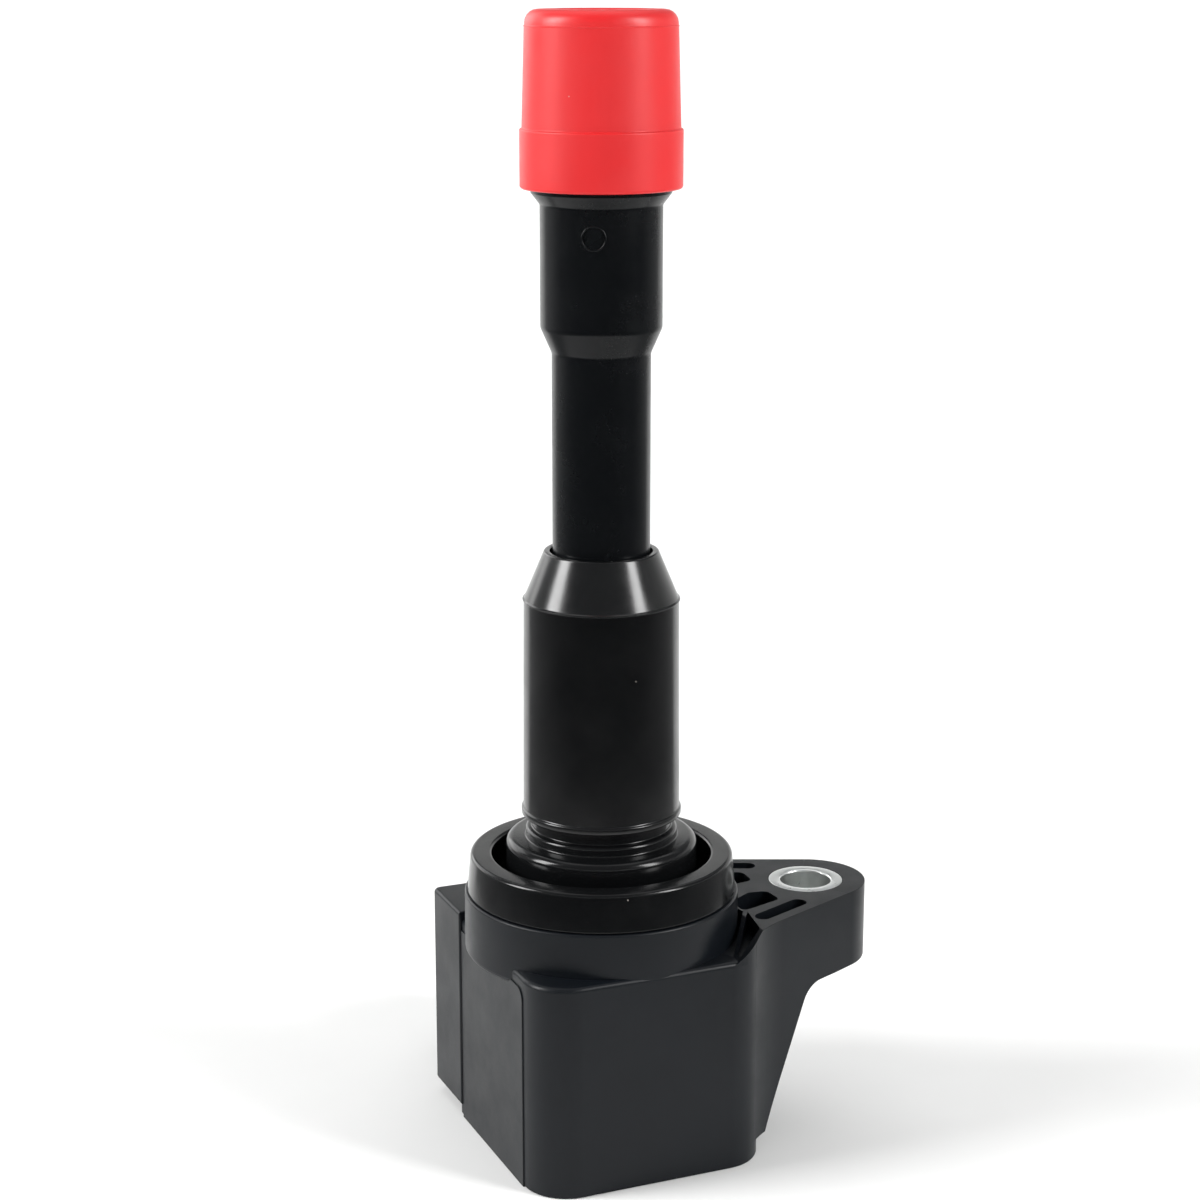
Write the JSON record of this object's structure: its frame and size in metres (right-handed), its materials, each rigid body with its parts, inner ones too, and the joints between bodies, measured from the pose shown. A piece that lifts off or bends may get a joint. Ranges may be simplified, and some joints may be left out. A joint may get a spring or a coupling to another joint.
{
  "type": "ignition coil",
  "caption": "Coil-on-plug ignition coil: boxy head with a mounting ear and connector, round seal, long tube and red silicone plug boot.",
  "frame": {"origin": "where the tube's axis meets the plane of the head's open, potted foot, which the part stands on", "axes": "+Z along the tube towards the spark plug boot's mouth, +X towards the mounting ear, +Y towards the connector"},
  "size_m": [0.0581, 0.056, 0.1511],
  "materials": {
    "case_plastic": "satin moulded glass-filled plastic",
    "bushing_aluminium": "turned",
    "potting_resin": "cast epoxy",
    "seal_rubber": "moulded, satin",
    "sleeve_rubber": "moulded, glossy",
    "tube_plastic": "satin",
    "boot_silicone": "red silicone, satin",
    "core_steel": "laminated electrical steel",
    "magnet": "sintered",
    "bobbin_plastic": "natural, moulded",
    "enamelled_copper": "enamelled wire, wound",
    "fine_enamelled_copper": "fine enamelled wire, wound in sections",
    "module_resin": "transfer-moulded",
    "terminal_brass": "stamped and plated",
    "ceramic": "glazed ceramic",
    "spring_steel": "drawn wire"
  },
  "bodies": {
    "coil": {"case": "case_plastic", "mount_bushing": "bushing_aluminium", "potting": "potting_resin", "seal_grommet": "seal_rubber", "barrel_sleeve": "sleeve_rubber", "stem_tube": "tube_plastic", "boot_tip": "boot_silicone", "centre_core": "core_steel", "outer_core": "core_steel", "core_magnet": "magnet", "primary_bobbin": "bobbin_plastic", "primary_winding": "enamelled_copper", "secondary_bobbin": "bobbin_plastic", "secondary_winding": "fine_enamelled_copper", "primary_leads": "enamelled_copper", "igniter_module": "module_resin", "igniter_heat_spreader": "bushing_aluminium", "terminal_holder": "bobbin_plastic", "supply_terminal": "terminal_brass", "ground_terminal": "terminal_brass", "trigger_terminal": "terminal_brass", "hv_diode": "module_resin", "hv_terminal": "terminal_brass", "resistor_rod": "ceramic", "resistor_caps": "terminal_brass", "contact_spring": "spring_steel"},
    "contact": {"plug_contact": "terminal_brass"}
  },
  "joints": [
    {"name": "contact_slide", "type": "slide", "parent": "coil", "child": "contact", "axis": [0, 0, -1], "range_m": [0, 0.005], "stiffness_N_per_m": 1000, "springref_m": -0.004, "deforming": ["contact_spring"]}
  ]
}
